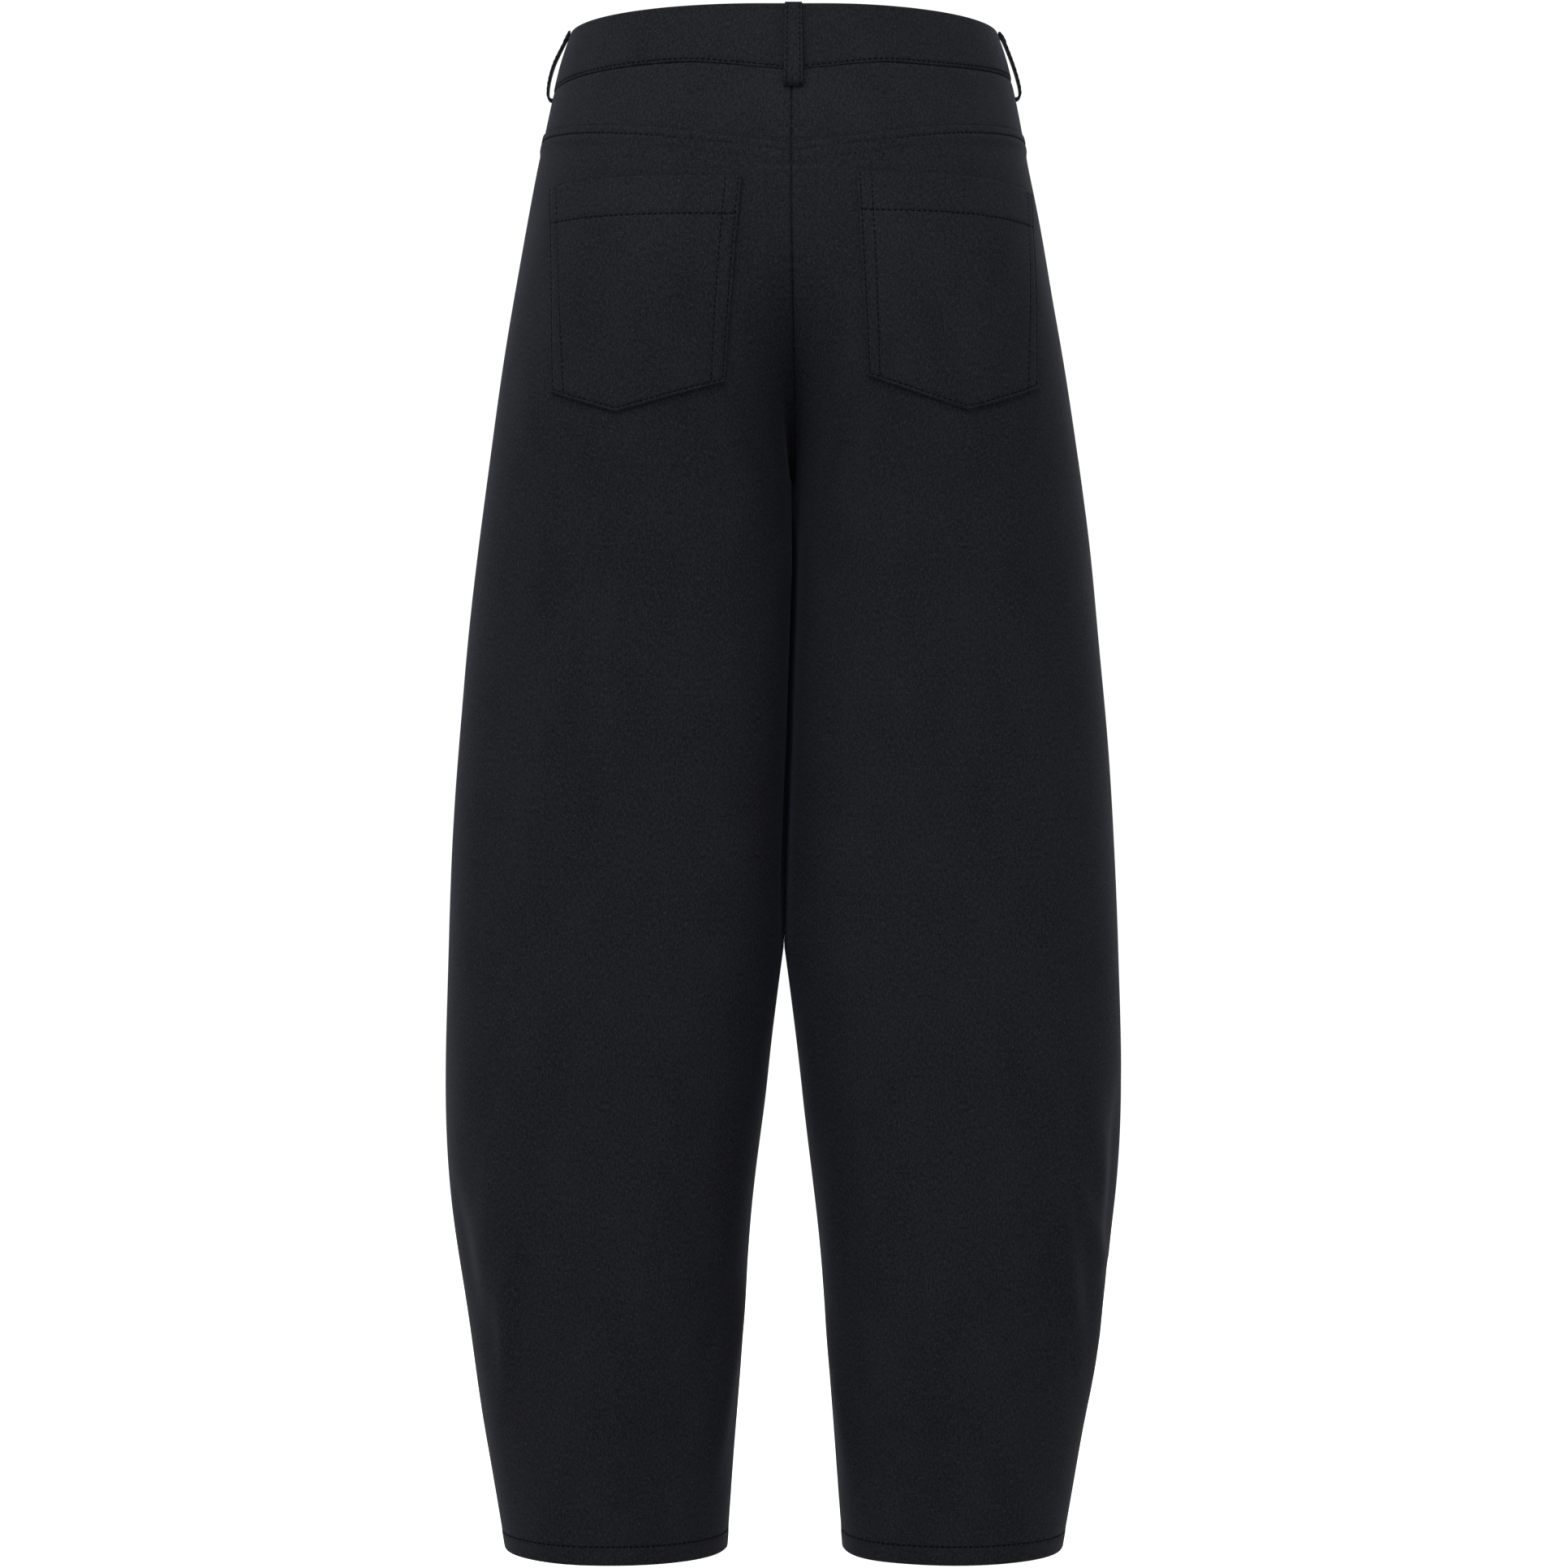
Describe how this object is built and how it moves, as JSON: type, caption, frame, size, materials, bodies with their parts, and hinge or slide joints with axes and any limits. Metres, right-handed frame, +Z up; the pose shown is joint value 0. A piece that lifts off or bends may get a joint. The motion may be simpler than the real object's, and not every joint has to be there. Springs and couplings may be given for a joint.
{
  "type": "trousers",
  "caption": "High-waisted barrel-leg trousers in their worn, hollow form, with a shaped back yoke, pointed patch pockets behind, a buttoned waistband and belt loops.",
  "frame": {"origin": "centre of the waist opening, at half the height of the waistband", "axes": "+Z up along the garment, +Y the way the wearer faces, +X the wearer's right"},
  "size_m": [0.4364, 0.2493, 0.9823],
  "materials": {
    "twill": "matte brushed wool twill, dark navy, nearly black",
    "button": "satin dark horn-like"
  },
  "bodies": {
    "root": {"waistband": "twill", "back_yoke_left": "twill", "back_yoke_right": "twill", "back_leg_left": "twill", "back_leg_right": "twill", "front_leg_left": "twill", "front_leg_right": "twill", "back_pocket_left": "twill", "back_pocket_right": "twill", "belt_loop_back": "twill", "belt_loop_side_left": "twill", "belt_loop_side_right": "twill", "belt_loop_front_left": "twill", "belt_loop_front_right": "twill", "waist_button": "button"}
  },
  "joints": []
}
